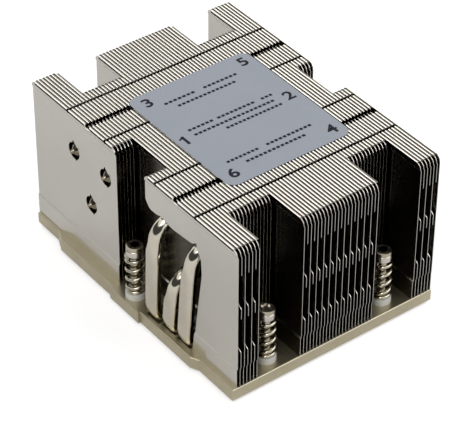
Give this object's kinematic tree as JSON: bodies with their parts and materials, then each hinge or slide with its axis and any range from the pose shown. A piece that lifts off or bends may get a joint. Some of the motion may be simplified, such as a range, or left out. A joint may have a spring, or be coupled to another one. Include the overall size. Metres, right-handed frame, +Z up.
{
  "type": "server cpu heatsink",
  "caption": "Passive heatsink for a rack server processor: interlocked sheet fins on a base plate with U-shaped heat pipes and captive spring screws.",
  "frame": {"origin": "centre of the contact face under the base plate", "axes": "+X across the fins, +Y along the fins towards the rear, +Z up from the contact face"},
  "size_m": [0.0924, 0.118, 0.0641],
  "materials": {
    "fin_metal": "satin rolled sheet",
    "base_metal": "milled, nickel plated",
    "pipe_metal": "satin nickel plating on copper",
    "screw_metal": "bright nickel plating",
    "spring_metal": "plain drawn wire",
    "bushing_metal": "satin",
    "label_film": "matt printed film"
  },
  "bodies": {
    "heatsink": {"left_front_fins": "fin_metal", "left_rear_fins": "fin_metal", "left_full_fin": "fin_metal", "left_notch_fins": "fin_metal", "centre_fins": "fin_metal", "right_notch_fins": "fin_metal", "right_full_fins": "fin_metal", "right_window_fin": "fin_metal", "right_front_fins": "fin_metal", "right_rear_fins": "fin_metal", "front_end_plate": "fin_metal", "rear_end_plate": "fin_metal", "base_plate": "base_metal", "front_inner_heat_pipe": "pipe_metal", "front_middle_heat_pipe": "pipe_metal", "front_outer_heat_pipe": "pipe_metal", "rear_inner_heat_pipe": "pipe_metal", "rear_middle_heat_pipe": "pipe_metal", "rear_outer_heat_pipe": "pipe_metal", "screw_bushings": "bushing_metal", "top_label": "label_film", "front_left_spring": "spring_metal", "front_right_spring": "spring_metal", "middle_left_spring": "spring_metal", "middle_right_spring": "spring_metal", "rear_left_spring": "spring_metal", "rear_right_spring": "spring_metal"},
    "front_left_screw": {"front_left_screw": "screw_metal"},
    "front_right_screw": {"front_right_screw": "screw_metal"},
    "middle_left_screw": {"middle_left_screw": "screw_metal"},
    "middle_right_screw": {"middle_right_screw": "screw_metal"},
    "rear_left_screw": {"rear_left_screw": "screw_metal"},
    "rear_right_screw": {"rear_right_screw": "screw_metal"}
  },
  "joints": [
    {"name": "front_left_screw_travel", "type": "slide", "parent": "heatsink", "child": "front_left_screw", "axis": [0, 0, 1], "range_m": [-0.0045, 0], "stiffness_N_per_m": 3000, "springref_m": 0.002, "deforming": ["front_left_spring"]},
    {"name": "front_right_screw_travel", "type": "slide", "parent": "heatsink", "child": "front_right_screw", "axis": [0, 0, 1], "range_m": [-0.0045, 0], "stiffness_N_per_m": 3000, "springref_m": 0.002, "deforming": ["front_right_spring"]},
    {"name": "middle_left_screw_travel", "type": "slide", "parent": "heatsink", "child": "middle_left_screw", "axis": [0, 0, 1], "range_m": [-0.0045, 0], "stiffness_N_per_m": 3000, "springref_m": 0.002, "deforming": ["middle_left_spring"]},
    {"name": "middle_right_screw_travel", "type": "slide", "parent": "heatsink", "child": "middle_right_screw", "axis": [0, 0, 1], "range_m": [-0.0045, 0], "stiffness_N_per_m": 3000, "springref_m": 0.002, "deforming": ["middle_right_spring"]},
    {"name": "rear_left_screw_travel", "type": "slide", "parent": "heatsink", "child": "rear_left_screw", "axis": [0, 0, 1], "range_m": [-0.0045, 0], "stiffness_N_per_m": 3000, "springref_m": 0.002, "deforming": ["rear_left_spring"]},
    {"name": "rear_right_screw_travel", "type": "slide", "parent": "heatsink", "child": "rear_right_screw", "axis": [0, 0, 1], "range_m": [-0.0045, 0], "stiffness_N_per_m": 3000, "springref_m": 0.002, "deforming": ["rear_right_spring"]}
  ]
}
